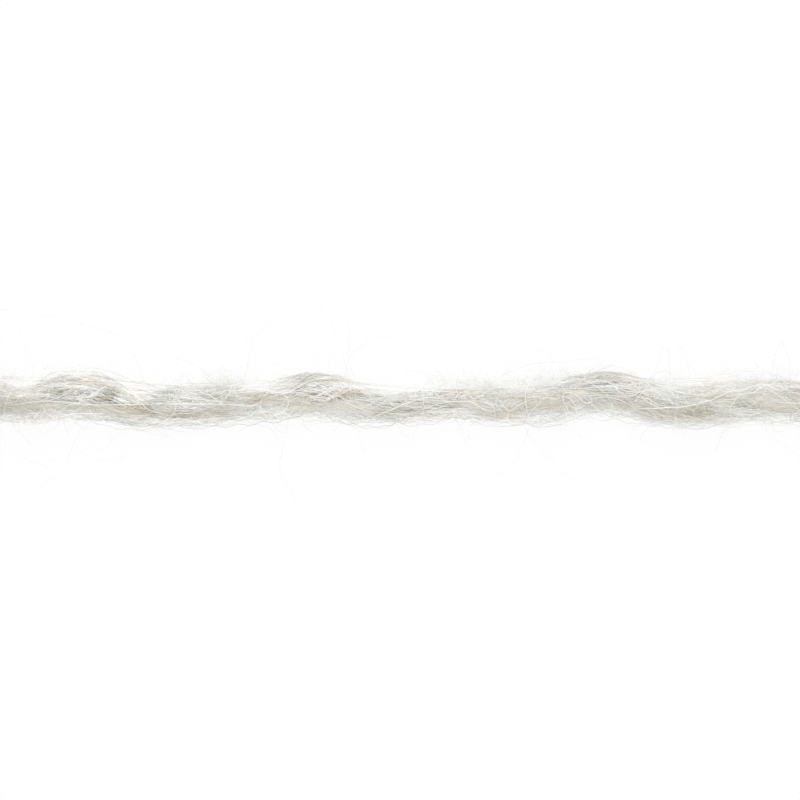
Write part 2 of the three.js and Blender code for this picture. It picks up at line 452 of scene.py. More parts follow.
# The core's tint and warmth, and how much its depth, the patches and its bare ends add to them. Depth and
# the bare ends add painted light, which fills the shade deep in the yarn and on the cut ends; the patches
# add their painted light and shade
CORE_TINT = 0.15
CORE_DEPTH_PAINTED_LIGHT = 0.7
CORE_PATCH_LIGHT = 0.5
CORE_END_PAINTED_LIGHT = 0.6
CORE_WARMTH = 0.1
CORE_PATCH_WARMTH = 0.8
# How far the packed middle stays under the strand's skin, and the most of its height that it reaches down
UNDER_SKIN = 0.2
UNDER_SHARE = 0.8
DEEP = 0.7


def packed_point(x, angle, share):
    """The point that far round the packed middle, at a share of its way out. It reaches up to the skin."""
    side, half = along("packed_side", x), along("packed_half", x)
    height = along("height", x)
    rise = skin_height(x, side) - UNDER_SKIN - height
    drop = np.minimum(half, UNDER_SHARE * height)
    y = side + share * half * np.cos(angle)
    z = height + share * np.where(np.sin(angle) > 0, rise, drop) * np.sin(angle)
    return at(x, y, z)


def buried(points):
    """How deep points lie under the strand's skin: 0 at it and 1 from DEEP millimetres down."""
    x = points[..., 0]
    y, z = points[..., 1] - along("side", x), points[..., 2] - along("height", x)
    return np.clip((skin_reach(x, np.arctan2(z, y)) - np.hypot(y, z)) / DEEP, 0, 1)


def set_numbers(mesh, **columns):
    """Numbers for each point of a mesh, which its material reads by their names."""
    for label, values in columns.items():
        mesh.attributes.new(label, "FLOAT", "POINT").data.foreach_set("value", np.ravel(values))


core_mesh = bpy.data.meshes.new("yarn_core")
bm = bmesh.new()
bmesh.ops.create_cone(
    bm, cap_ends=True, cap_tris=False, segments=CORE_SIDES, radius1=1, radius2=1, depth=2
)
walls = [edge for edge in bm.edges if abs(edge.verts[0].co.z - edge.verts[1].co.z) > 1]
bmesh.ops.subdivide_edges(bm, edges=walls, cuts=CORE_STEPS, use_grid_fill=True)
for face in bm.faces:
    face.smooth = True
bm.to_mesh(core_mesh)
bm.free()
unit = np.empty(len(core_mesh.vertices) * 3)
core_mesh.vertices.foreach_get("co", unit)
unit = unit.reshape(-1, 3)
x = unit[:, 2] * (HALF_LENGTH - CORE_SHORT)
angle = np.arctan2(unit[:, 1], unit[:, 0])
ridges = sum(size * np.sin(waves * angle + pace * x + start) for size, waves, pace, start in CORE_RIDGES)
lump, turning, coming = CORE_LUMPS
ridges += lump * np.sin(turning * x + 2 * angle) * np.sin(coming * x - angle)
points = packed_point(x, angle, CORE_SHARE * (1 + ridges))
core_mesh.vertices.foreach_set("co", (points * MM).ravel())
# The core takes the patches' painted light and shade, and its depth and cut ends are painted lighter to fill
# their shade
lights, warmths = in_patches(points)
lights = CORE_PATCH_LIGHT * lights + CORE_END_PAINTED_LIGHT * (np.abs(unit[:, 2]) == 1)
set_numbers(
    core_mesh,
    tint=CORE_TINT + CORE_DEPTH_PAINTED_LIGHT * buried(points) + lights,
    warm=CORE_WARMTH + CORE_PATCH_WARMTH * warmths,
    lively=along("lively", x),
    run=x,
    own=np.abs(angle) / math.pi,
)
core_fibre = fibre_material(
    "core_fibre",
    shades=((0.0, (0.58, 0.56, 0.48)), (0.5, (0.82, 0.81, 0.76)), (1.0, (0.93, 0.925, 0.90))),
    dash={"length": 0.8, "depth": 0.15},
    roughness=0.6,
    scales=0.5,
    see_through=0.0,
)
core_mesh.materials.append(core_fibre)
core = placed("yarn_core", core_mesh)
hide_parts("yarn_strand")
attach(core, "root")

# Silky fibres
# Fine, smooth, lustrous fibres, combed parallel and spun so loosely that they lie in soft flat locks. They
# fill the silky ply, most densely in its middle, and arch with it over the woolly one.
SILKY_THICKNESS = 0.036
SILKY_LOCKS = 235
FIBRES_TO_A_LOCK = 5
SILKY_STEPS = 20
# Lengths of a lock and of its fibres beside it, and how far they lie ahead or behind in it
LOCK_LENGTH = (2.5, 6.0)
LENGTH_IN_LOCK = (0.6, 1.2)
LOCK_SLIP = 1.2
# A lock turns round the ply by this share of the twist, and is pulled straight by that share
LOCK_LAY = (0.25, 0.45)
LOCK_STRAIGHTNESS = (0.5, 1.0)
# Width and thickness of a lock, as an angle and as shares of the ply's radius, and its two slow sways
LOCK_WIDTH = 0.09
WIDEST_AT = 0.25
LOCK_THICKNESS = 0.08
LOCK_SWAY = (0.10, 1.3)
LOCK_DIP = (0.05, 1.7)
# Where the locks lie in the ply, as shares of its radius: their usual spread and the most
SILKY_SPREAD = (0.52, 0.96)
ALMOST_ALL = 0.999
SILKY_TINT = 0.46
FIBRE_TINT_SPREAD = 0.06
LOCK_TINT_SPREAD = 0.11
# The share of the fibres painted paler as painted glints and by how much, and the share that lie on the
# upper side
PAINTED_GLINT_SHARE = 0.12
PAINTED_GLINT = 0.35
UPPER_SHARE = 0.75
CRINKLE = 0.055
CRINKLE_LENGTH = (0.8, 1.7)
# Somewhat more than a whole turn, for waves that may start anywhere
ANY_START = 6.3
# How far fibres stick out of the strand's cut ends, and how fibres thin out to their own ends
END_STICK_OUT = (-0.1, 0.3)
THINNING = 8
# Buried fibres are painted this much lighter: painted light that fills the shade deep among them
DEPTH_PAINTED_LIGHT = 0.3
# A fibre is of the fringe when a fifth of it lies this far beyond the packed middle
FRINGE_EDGE = 0.06
FRINGE_PART = 0.2
FRINGE_SHARE = 0.05
# Each fibre has a cell of the map: how many cells stand side by side, and how much of one a fibre fills
MAP_COLUMNS = 4
CELL_LENGTH = (0.02, 0.98)
CELL_WIDTH = (0.1, 0.9)
# A direction that no fibre runs in, to measure the sides of a fibre from
ODD_DIRECTION = (0.13, 0.61, 0.78)


def tubes(lines, radius, sides):
    """Rings of points round each line, the outward faces between them and the two end faces."""
    count, steps, _ = lines.shape
    ahead = np.gradient(lines, axis=1)
    ahead /= np.linalg.norm(ahead, axis=2, keepdims=True)
    across = np.empty_like(lines)
    side = np.cross(ahead[:, 0], ODD_DIRECTION)
    for step in range(steps):
        side = side - np.sum(side * ahead[:, step], axis=1, keepdims=True) * ahead[:, step]
        side /= np.linalg.norm(side, axis=1, keepdims=True)
        across[:, step] = side
    up = np.cross(ahead, across)
    turn = np.arange(sides) * 2 * math.pi / sides
    spokes = np.cos(turn)[:, None] * across[:, :, None] + np.sin(turn)[:, None] * up[:, :, None]
    points = lines[:, :, None] + radius[:, :, None, None] * spokes
    index = np.arange(count * steps * sides).reshape(count, steps, sides)
    here, after = index[:, :-1], index[:, 1:]
    walls = np.stack([here, np.roll(here, -1, 2), np.roll(after, -1, 2), after], axis=-1)
    ends = np.concatenate([index[:, 0, ::-1], index[:, -1]])
    return points, walls.reshape(-1, 4), ends


def fibre_piece(name, batches, material, sides=3, smooth=False):
    """One joined mesh of many fibres. A batch has lines, radii and a tint for each line, in millimetres."""
    total = sum(len(lines) for lines, _, _ in batches)
    rows = math.ceil(total / MAP_COLUMNS)
    points, faces, cells = [], [], []
    numbers = {"tint": [], "warm": [], "lively": [], "run": [], "own": []}
    first_point = first_line = 0
    for lines, radius, tint in batches:
        count, steps = lines.shape[:2]
        radius = np.broadcast_to(radius, (count, steps))
        lines = lines.copy()
        lines[..., 2] = np.maximum(lines[..., 2], radius)
        rings, walls, ends = tubes(lines, radius, sides)
        faces += (walls + first_point).tolist() + (ends + first_point).tolist()
        points.append(rings.reshape(-1, 3))
        light, warmth = in_patches(lines)
        lively = along("lively", lines[..., 0])
        own_tints = tint.mean() + lively * (tint[:, None] - tint.mean())
        pace = np.linalg.norm(np.diff(lines, axis=1, prepend=lines[:, :1]), axis=2)
        cell = first_line + np.arange(count)
        # Painted light: the tint takes the patches' painted light and shade, and rises with the fibre's
        # depth to fill the shade there
        numbers["tint"].append(np.repeat(own_tints + light + DEPTH_PAINTED_LIGHT * buried(lines), sides))
        numbers["warm"].append(np.repeat(warmth, sides))
        numbers["lively"].append(np.repeat(lively, sides))
        numbers["run"].append(np.repeat(lines[:, :1, 0] + np.cumsum(pace, axis=1), sides))
        numbers["own"].append(np.repeat(cell / total, steps * sides))
        u = (cell % MAP_COLUMNS)[:, None, None] + np.linspace(*CELL_LENGTH, steps)[None, :, None]
        v = (cell // MAP_COLUMNS)[:, None, None] + np.linspace(*CELL_WIDTH, sides)[None, None, :]
        u, v = np.broadcast_arrays(u / MAP_COLUMNS, v / rows)
        cells.append(np.stack([u, v], axis=-1).reshape(-1, 2))
        first_point += count * steps * sides
        first_line += count
    points = np.concatenate(points)
    points[:, 2] = np.maximum(points[:, 2], 0)
    mesh = bpy.data.meshes.new(name)
    mesh.from_pydata(points * MM, [], faces, shade_flat=not smooth)
    set_numbers(mesh, **{label: np.concatenate(values) for label, values in numbers.items()})
    corner = np.empty(len(mesh.loops), int)
    mesh.loops.foreach_get("vertex_index", corner)
    mesh.uv_layers.new(name="OFBake").data.foreach_set("uv", np.concatenate(cells)[corner].ravel())
    mesh.materials.append(material)
    piece = placed(name, mesh)
    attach(piece, "root")


def each(count, low, high):
    """A number between the two for each of so many fibres."""
    return rng.uniform(low, high, (count, 1))


def span(middle, reach, steps):
    """Even steps along each fibre of a length about its middle, cut off near the strand's ends."""
    start = np.maximum(middle - reach / 2, -HALF_LENGTH - rng.uniform(*END_STICK_OUT, len(middle)))
    end = np.minimum(middle + reach / 2, HALF_LENGTH + rng.uniform(*END_STICK_OUT, len(middle)))
    return start[:, None] + (end - start)[:, None] * np.linspace(0, 1, steps)[None, :]


def batch(lines, thickness, tint, spread=0.25, end=0.5):
    """Lines with radii and tints. Each has its own thickness and thins out towards both of its ends."""
    count, steps = lines.shape[:2]
    radius = 0.5 * thickness * each(count, 1 - spread, 1 + spread)
    thinning = (1 - end) * np.linspace(-1, 1, steps)[None, :] ** THINNING
    return lines, radius * (1 - thinning), tint


def tints(count, usual, spread):
    return usual + spread * rng.standard_normal(count)


def missing(lines):
    """Which lines are left out, because the yarn is thin in a patch that they pass."""
    left_out = np.zeros(len(lines), bool)
    for *patch, _, _, share in PATCHES:
        if share:
            left_out |= rng.random(len(lines)) < share * nearness(lines, *patch).max(axis=1)
    return left_out


def beyond_band(lines):
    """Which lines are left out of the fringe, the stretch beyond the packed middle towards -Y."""
    edge = along("packed_side", lines[..., 0]) - along("packed_half", lines[..., 0])
    beyond = np.quantile(lines[..., 1] - edge, FRINGE_PART, axis=1) < -FRINGE_EDGE
    return beyond & (rng.random(len(lines)) > FRINGE_SHARE)


def soft_share(count, spread, most):
    """Places across a bundle, as shares of its radius: packed in its middle and sparse at its skin."""
    return np.minimum(spread * np.sqrt(-2 * np.log(1 - ALMOST_ALL * rng.random(count))), most)


def facing_up(count):
    """Ways round a bundle, most of them on its upper side, which shows most."""
    return rng.uniform(0, math.pi, count) * np.where(rng.random(count) < UPPER_SHARE, 1, -1)


def straightened(lines, share):
    """The lines pulled sideways towards the straight ones through their quarter points."""
    lines = lines.copy()
    quarter = lines.shape[1] // 4
    start, end = lines[:, quarter, :, None], lines[:, -1 - quarter, :, None]
    slope = (end[:, 1] - start[:, 1]) / (end[:, 0] - start[:, 0])
    lines[..., 1] += share * (start[:, 1] + slope * (lines[..., 0] - start[:, 0]) - lines[..., 1])
    return lines


def crinkled(lines, size):
    """The lines with a fine wave to the sides and up and down, so that they dip under each other."""
    lines = lines.copy()
    count = len(lines)
    beat = 2 * math.pi / each(count, *CRINKLE_LENGTH)
    for axis in (1, 2):
        lines[..., axis] += size * np.sin(beat * lines[..., 0] + each(count, 0, ANY_START))
    return lines


def silky_fibres(locks, low, high):
    middle = low + (high - low) * (np.arange(locks) + rng.random(locks)) / locks
    turn = facing_up(locks)
    share = soft_share(locks, *SILKY_SPREAD)
    length = rng.uniform(*LOCK_LENGTH, locks)
    lay = rng.normal(*LOCK_LAY, locks)
    straight = rng.uniform(*LOCK_STRAIGHTNESS, locks)
    wave = rng.uniform(0, 2 * math.pi, (locks, 2))
    lock = np.repeat(np.arange(locks), FIBRES_TO_A_LOCK)
    count = len(lock)
    start = middle[lock] + rng.uniform(-LOCK_SLIP, LOCK_SLIP, count)
    x = span(start, length[lock] * rng.uniform(*LENGTH_IN_LOCK, count), SILKY_STEPS)
    angle = turn[lock][:, None] + (lay * twist(middle))[lock][:, None] * (x - middle[lock][:, None])
    angle += rng.normal(0, LOCK_WIDTH, (count, 1)) / np.maximum(share[lock][:, None], WIDEST_AT)
    angle += LOCK_SWAY[0] * np.sin(x * LOCK_SWAY[1] + wave[lock, :1])
    out = share[lock][:, None] + each(count, -LOCK_THICKNESS, LOCK_THICKNESS)
    out = out + LOCK_DIP[0] * np.sin(x * LOCK_DIP[1] + wave[lock, 1:])
    lines = straightened(on_ply("silky", x, angle, out), straight[lock][:, None])
    lines = crinkled(lines, CRINKLE)
    tint = tints(count, SILKY_TINT, FIBRE_TINT_SPREAD) + tints(locks, 0, LOCK_TINT_SPREAD)[lock]
    # Painted glints: a share of the fibres is painted paler
    tint += PAINTED_GLINT * (rng.random(count) < PAINTED_GLINT_SHARE)
    kept = ~missing(lines) & ~beyond_band(lines)
    return [column[kept] for column in batch(lines, SILKY_THICKNESS, tint)]


rng = np.random.default_rng(11)
silky_fibre = fibre_material(
    "silky_fibre",
    shades=(
        (0.0, (0.57, 0.555, 0.495)),
        (0.12, (0.69, 0.675, 0.62)),
        (0.45, (0.82, 0.808, 0.765)),
        (0.65, (0.865, 0.857, 0.825)),
        (0.85, (0.985, 0.982, 0.975)),
    ),
    dash={"length": 0.28, "depth": 0.28},
    roughness=0.26,
    scales=0.3,
    see_through=0.0,
)
fibre_piece("silky_fibres_left", [silky_fibres(SILKY_LOCKS, -HALF_LENGTH, 0)], silky_fibre)
fibre_piece("silky_fibres_right", [silky_fibres(SILKY_LOCKS, 0, HALF_LENGTH)], silky_fibre)

# Loose silky locks
# On its crests the silky ply stands open: flat locks of straight fibres bridge from one dip to the next,
# with gaps between them. Each row is one lock: its two ends, the bow of its middle towards +Y, its
# width, its height off the ply and its tint.
LOOSE_LOCKS = (
    (-24.9, 0.98, -20.3, 1.54, 0.25, 0.42, 0.05, 0.45),
    (-25.9, 0.56, -21.3, 0.84, 0.15, 0.35, 0.10, 0.30),
    (-23.8, 1.82, -19.7, 1.26, 0.20, 0.28, 0.00, 0.75),
    (-22.8, 1.33, -19.5, 0.56, 0.20, 0.35, 0.05, 0.50),
    (-25.2, 0.28, -21.0, 0.14, 0.07, 0.35, 0.05, 0.55),
    (-22.1, -0.07, -20.2, 0.98, 0.00, 0.28, 0.08, 0.85),
    (-27.7, 0.14, -24.6, 1.40, 0.14, 0.42, 0.05, 0.95),
    (-24.6, 1.96, -21.3, 2.03, 0.07, 0.21, 0.00, 0.80),
    (-21.0, 1.68, -18.5, 0.28, 0.20, 0.35, 0.05, 0.85),
    (-19.0, 0.56, -16.8, -0.84, 0.00, 0.42, 0.05, 0.95),
    (-18.2, 0.77, -15.5, -0.70, 0.05, 0.42, 0.08, 0.30),
    (-17.5, 0.98, -14.7, -0.56, 0.05, 0.42, 0.04, 0.25),
    (-16.8, 1.12, -14.0, -0.14, 0.05, 0.35, 0.08, 0.95),
    (-16.0, 0.98, -13.6, 0.00, 0.05, 0.35, 0.05, 0.90),
    (-8.3, 1.26, -4.2, 1.47, 0.20, 0.42, 0.05, 0.25),
    (-8.0, 0.91, -3.8, 1.26, 0.14, 0.35, 0.08, 0.35),
    (-8.5, 0.56, -4.9, 0.70, 0.07, 0.35, 0.06, 0.85),
    (-7.0, 1.68, -3.4, 1.33, 0.14, 0.28, 0.00, 0.60),
    (-6.3, -0.07, -4.1, 1.12, 0.00, 0.35, 0.08, 0.90),
    (-5.5, -0.14, -3.4, 0.84, 0.00, 0.21, 0.12, 0.95),
    (-4.9, 0.70, -1.5, 0.84, 0.28, 0.35, 0.05, 0.80),
    (-3.9, 1.12, -1.1, 0.28, 0.14, 0.35, 0.04, 0.90),
    (12.0, 1.12, 16.2, 1.40, 0.20, 0.42, 0.05, 0.40),
    (12.3, 0.70, 16.8, 0.84, 0.14, 0.35, 0.05, 0.60),
    (14.0, 1.68, 16.9, 1.33, 0.14, 0.28, 0.00, 0.35),
    (15.1, 1.12, 18.8, -0.14, 0.14, 0.56, 0.04, 0.90),
    (12.6, 1.55, 16.6, 1.65, 0.22, 0.35, 0.00, 0.25),
    (13.4, 1.80, 17.2, 1.45, 0.10, 0.30, 0.00, 0.40),
    (-8.6, 1.45, -4.6, 1.72, 0.18, 0.35, 0.00, 0.25),
    (-7.6, 1.70, -3.8, 1.40, 0.14, 0.30, 0.00, 0.35),
)
LOOSE_FIBRES_TO_A_LOCK = 7
LOOSE_STEPS = 20
LOOSE_LOCK_THICKNESS = 0.9 * SILKY_THICKNESS
LOOSE_LOCK_TINT_SPREAD = 0.2
# Fibres lie this share of the length ahead or behind, and the lock is so much narrower at its ends
LOOSE_SLIP = 0.3
LOOSE_NARROWING = 0.5
# How far below the skin a lock starts, and how far its fibres lie below and above each other
LOOSE_SINK = 0.15
LOOSE_LAYERS = (-0.06, 0.04)

rng = np.random.default_rng(12)


def eased(lines, times):
    """The lines with their kinks smoothed out and their ends left in place."""
    lines = lines.copy()
    for _ in range(times):
        lines[:, 1:-1] = (lines[:, :-2] + 2 * lines[:, 1:-1] + lines[:, 2:]) / 4
    return lines


def loose_locks():
    rows = np.repeat(np.array(LOOSE_LOCKS), LOOSE_FIBRES_TO_A_LOCK, axis=0)
    count = len(rows)
    x0, y0, x1, y1, bow, width, lift, tint = (column[:, None] for column in rows.T)
    t = np.linspace(0, 1, LOOSE_STEPS)[None, :] + each(count, -LOOSE_SLIP, LOOSE_SLIP)
    off_middle = (2 * t - 1) ** 2
    spread = each(count, -0.5, 0.5) * width * (1 - LOOSE_NARROWING * off_middle)
    x = x0 + (x1 - x0) * t
    y = y0 + (y1 - y0) * t + bow * (1 - off_middle) + spread
    z = skin_height(x, y) + lift * (1 - off_middle) - LOOSE_SINK
    z = z + each(count, *LOOSE_LAYERS)
    lines = crinkled(eased(at(x, y, z), 3), CRINKLE)
    return batch(lines, LOOSE_LOCK_THICKNESS, tints(count, tint[:, 0], LOOSE_LOCK_TINT_SPREAD), spread=0.2)


fibre_piece("loose_silky_locks", [loose_locks()], silky_fibre)

# Woolly fibres
# Matt, crimped sheep's wool, carded and not combed, so the fibres cross each other. They fill the woolly
# ply, and others bind both plies together in the packed middle of the strand.
WOOLLY_THICKNESS = 0.03
WOOLLY_FIBRES = 1050
PACKED_FIBRES = 1060
SIDE_FIBRES = 110
WOOLLY_STEPS = 22
WOOLLY_LENGTH = (3.0, 7.0)
WOOLLY_SPREAD = (0.48, 0.98)
WOOLLY_SHEEN = 0.2
# Fibres turn with the twist by this share of it, and the two kinds differ in how much they cross
WOOLLY_LAY = 0.3
WOOLLY_CROSSING = 0.8
PACKED_CROSSING = 0.5
# Height and length of the crimp, and the slow sway round the strand
CRIMP = (0.03, 0.09)
CRIMP_LENGTH = (0.7, 1.9)
WOOLLY_SWAY = (0.2, 0.9)
WOOLLY_TINT = 0.42
PACKED_TINT = 0.38
TINT_SPREAD = 0.06
PALE_SHARE = 0.1
PALE = 0.4
# Where the packed fibres lie, as a share of the way out of the packed middle, how much more they ripple
# than the woolly ones, and how far round it the ones of its two sides spread
PACKED_SHARE = (0.97, 0.07)
PACKED_RIPPLE = 1.2
SIDE_WIDTH = 0.45

rng = np.random.default_rng(13)
woolly_fibre = fibre_material(
    "woolly_fibre",
    shades=(
        (0.0, (0.65, 0.63, 0.57)),
        (0.4, (0.765, 0.75, 0.705)),
        (0.7, (0.84, 0.83, 0.80)),
        (1.0, (0.95, 0.945, 0.93)),
    ),
    dash={"length": 0.2, "depth": 0.14},
    roughness=0.55,
    scales=0.6,
    see_through=0.0,
)
set_inputs(woolly_fibre.node_tree.nodes["Principled BSDF"], {"Sheen Weight": WOOLLY_SHEEN})


def mostly_alike(count, usual):
    """Tints of fibres that are mostly alike, with a paler one now and then."""
    return tints(count, usual, TINT_SPREAD) + PALE * (rng.random(count) < PALE_SHARE)


def crimped(count, crossing):
    """Places along the strand, angles round it and ripples for wavy fibres of the carded wool."""
    low, high = -HALF_LENGTH, HALF_LENGTH
    middle = low + (high - low) * (np.arange(count) + rng.random(count)) / count
    x = span(middle, rng.uniform(*WOOLLY_LENGTH, count), WOOLLY_STEPS)
    rate = twist(middle) * rng.normal(WOOLLY_LAY, crossing, count)
    crimp = each(count, *CRIMP)
    beat = 2 * math.pi / each(count, *CRIMP_LENGTH)
    phase = rng.uniform(0, 2 * math.pi, (count, 3))
    angle = facing_up(count)[:, None] + rate[:, None] * (x - middle[:, None])
    sway = WOOLLY_SWAY[0] * np.sin(WOOLLY_SWAY[1] * x + phase[:, 1:2])
    angle += 2 * crimp * np.sin(beat * x + phase[:, :1]) + sway
    return x, angle, crimp * np.sin(beat * x + phase[:, 2:3])


def woolly_fibres(count):
    x, angle, ripple = crimped(count, WOOLLY_CROSSING)
    lines = on_ply("woolly", x, angle, soft_share(count, *WOOLLY_SPREAD)[:, None] + ripple)
    kept = ~missing(lines) & ~beyond_band(lines)
    woolly = batch(lines, WOOLLY_THICKNESS, mostly_alike(count, WOOLLY_TINT))
    return [column[kept] for column in woolly]


def packed_fibres(count, side_angle=None):
    x, angle, ripple = crimped(count, PACKED_CROSSING)
    if side_angle is not None:
        angle += side_angle - angle[:, :1] + rng.normal(0, SIDE_WIDTH, (count, 1))
    share = rng.normal(*PACKED_SHARE, count)
    lines = packed_point(x, angle, share[:, None] + PACKED_RIPPLE * ripple)
    return batch(lines, WOOLLY_THICKNESS, mostly_alike(count, PACKED_TINT))


fibre_piece("woolly_fibres", [woolly_fibres(WOOLLY_FIBRES)], woolly_fibre)
fibre_piece(
    "packed_fibres",
    [packed_fibres(PACKED_FIBRES), *(packed_fibres(SIDE_FIBRES, side) for side in (0, math.pi))],
    woolly_fibre,
)

# Bridging fibres
# Long fibres that the spinning left slack. They run almost straight from one high place of the strand to
# another, beside the dips between, and make the pale fringe along both edges.
BRIDGING_FIBRES = 150
BRIDGING_STEPS = 22
BRIDGING_THICKNESS = 0.03
BRIDGING_LENGTH = (4.0, 12.0)
BRIDGING_TINT = (0.5, 0.2)
# How far round the strand, from its +Y side, they start, and how far on from there they end
BRIDGING_START = 0.5
BRIDGING_TURN = 0.3
# How slack they are, how deep under the skin they are rooted, and how much deeper some of them lie
SLACK = 0.15
ROOT_DEPTH = 0.2
LAYER_DEPTH = 0.3
# Sizes of the sways to the sides and up and down, and their pace
SWAY_SIZES = {1: 0.04, 2: 0.05}
SWAY_PACE = (0.8, 3.5)
FRINGE_FIBRES = 80
FRINGE_STEPS = 30
FRINGE_THICKNESS = 0.035
FRINGE_LENGTH = (4.0, 10.0)
FRINGE_TINT = (0.35, 0.25)
FRINGE_CRINKLE = 0.08
# How far out the fringe stands, how far in its ends are tucked, and its share of the strand's height
FRINGE_OUT = (1.7, 0.19)
FRINGE_TUCK = 0.25
FRINGE_HEIGHT = (0.35, 1.2)
# The edge is read at so many places and evened out over so many of them
EDGE_SAMPLES = 129
EDGE_BLUR = 7

rng = np.random.default_rng(14)


def tucked(t):
    """How far a slack fibre stands off along its length: its two ends are held in the strand."""
    return 1 - (2 * t - 1) ** 4


def outside(lines, out):
    """The lines with the stretches that run inside the strand moved out to its skin."""
    x = lines[..., 0]
    y, z = lines[..., 1] - along("side", x), lines[..., 2] - along("height", x)
    far = np.hypot(y, z)
    push = np.maximum(far, skin_reach(x, np.arctan2(z, y)) + out) / far
    return off_middle(x, y * push, z * push)


def swaying(lines):
    """The lines with a slow sway to the sides and up and down, and each with its own pace."""
    lines = lines.copy()
    count = len(lines)
    for axis, size in SWAY_SIZES.items():
        pace = each(count, *SWAY_PACE)
        lines[..., axis] += size * np.sin(lines[..., 0] * pace + each(count, 0, ANY_START))
    return eased(lines, 3)


def bridging_fibres(count):
    reach = rng.uniform(*BRIDGING_LENGTH, count)
    x0 = rng.uniform(-HALF_LENGTH, HALF_LENGTH - reach)
    angle = rng.normal(0, BRIDGING_START, count)
    start = on_strand(x0, angle, -ROOT_DEPTH)
    end = on_strand(x0 + reach, angle + rng.normal(0, BRIDGING_TURN, count), -ROOT_DEPTH)
    t = np.linspace(0, 1, BRIDGING_STEPS)[None, :, None]
    lines = start[:, None] + (end - start)[:, None] * t
    out = rng.exponential(SLACK, (count, 1)) * tucked(t[..., 0]) - each(count, 0, LAYER_DEPTH)
    lines = swaying(outside(lines, out))
    return batch(lines, BRIDGING_THICKNESS, tints(count, *BRIDGING_TINT), end=0.6)


def fringe_fibres(count):
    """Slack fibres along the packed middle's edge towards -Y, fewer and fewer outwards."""
    places = np.linspace(-HALF_LENGTH, HALF_LENGTH, EDGE_SAMPLES)
    edge = along("packed_side", places) - along("packed_half", places)
    edge = np.convolve(np.pad(edge, EDGE_BLUR // 2, "edge"), np.ones(EDGE_BLUR) / EDGE_BLUR, "valid")
    middle = rng.uniform(-HALF_LENGTH, HALF_LENGTH, count)
    x = span(middle, rng.uniform(*FRINGE_LENGTH, count), FRINGE_STEPS)
    t = np.linspace(0, 1, FRINGE_STEPS)[None, :]
    off = (rng.gamma(*FRINGE_OUT, (count, 1)) + FRINGE_TUCK) * tucked(t) - FRINGE_TUCK
    y = np.interp(x, places, edge) - off
    z = along("height", x) * each(count, *FRINGE_HEIGHT)
    tint = tints(count, *FRINGE_TINT)
    lines = crinkled(swaying(at(x, y, z)), FRINGE_CRINKLE)
    return batch(lines, FRINGE_THICKNESS, tint, end=0.6)


fibre_piece(
    "bridging_fibres", [bridging_fibres(BRIDGING_FIBRES), fringe_fibres(FRINGE_FIBRES)], silky_fibre
)

# Fuzz
# Short ends and loops of fine wool that stand off the woolly ply in a soft mist, most of all where it
# comes up on top. The silky ply's last crest has caught some of them too.
FUZZ_FIBRES = 2100
ROOTS_END = HALF_LENGTH - 0.5
CREST_FUZZ = 560
FUZZY_CREST = (11.5, 21.5)
FUZZ_STEPS = 8
FUZZ_THICKNESS = 0.017
FUZZ_LENGTH = (0.5, 1.8)
FUZZ_TINT = (0.55, 0.15)
# How far round the ply, from its outer side, the roots spread, and how much a fibre curls
FUZZ_AROUND = 1.0
FUZZ_CURL = 1.8
# Where the roots are, as a share of the ply's radius, how high the fibres stand off it, and how far along
# each of them is highest
FUZZ_ROOT = 0.86
FUZZ_HEIGHT = (1.5, 0.12)
FUZZ_TOP = (0.5, 1.0)
FUZZ_SWELL = 0.8

rng = np.random.default_rng(15)
fine_fibre = fibre_material(
    "fine_fibre",
    shades=((0.0, (0.58, 0.57, 0.52)), (0.5, (0.78, 0.77, 0.73)), (1.0, (0.95, 0.945, 0.93))),
    dash={"length": 1.2, "depth": 0.15},
    roughness=0.5,
    scales=0.3,
    see_through=0.3,
)


def fuzz(count, ply, low, high):
    x0 = rng.uniform(low, high, count)
    angle = ply_turn(ply, x0) + rng.normal(0, FUZZ_AROUND, count)
    step = rng.uniform(*FUZZ_LENGTH, count)[:, None] / FUZZ_STEPS
    height = rng.gamma(*FUZZ_HEIGHT, count)[:, None]
    t = np.linspace(0, 1, FUZZ_STEPS)[None, :]
    heading = each(count, 0, 2 * math.pi) + rng.normal(0, FUZZ_CURL, (count, 1)) * t
    x = x0[:, None] + np.cumsum(np.cos(heading) * step, axis=1)
    around = np.cumsum(np.sin(heading) * step, axis=1)
    swell = np.sin(math.pi * np.minimum(t * each(count, *FUZZ_TOP), 1)) ** FUZZ_SWELL
    lines = on_ply(ply, x, angle[:, None] + around, FUZZ_ROOT + height * swell)
    return batch(lines, FUZZ_THICKNESS, tints(count, *FUZZ_TINT))


fibre_piece(
    "woolly_fuzz",
    [fuzz(FUZZ_FIBRES, "woolly", -ROOTS_END, ROOTS_END), fuzz(CREST_FUZZ, "silky", *FUZZY_CREST)],
    fine_fibre,
)

# Stray curls
# Single wool fibres that wander over both plies in loops and curls. Their ends are caught in the twist, and
# they hold the strand together.
STRAY_CURLS = 170
STRAY_STEPS = 40
STRAY_THICKNESS = 0.038
STRAY_END = HALF_LENGTH - 2
STRAY_LENGTH = (3, 13)
STRAY_CURL = (0.3, 1.5)
STRAY_TINT = (0.85, 0.12)
# How far round the woolly ply the roots spread, and the radius that turns a way aside into an angle
STRAY_AROUND = 1.1
STRAY_RADIUS = 1.3
# Height off the skin, size and pace of the rise and fall along it, and how deep the ends are tucked
STRAY_OUT = (-0.08, 0.10)
STRAY_DIP = (0.08, 7)
STRAY_TUCK = 0.25
# A wandering fibre's three curls, from the widest to the finest: how many there are and their share
CURLS = ((0.8, 1.0), (2.0, 0.7), (4.5, 0.35))
CURL_UNEVENNESS = (0.6, 1.4)
OFF_COURSE = 0.4

rng = np.random.default_rng(16)


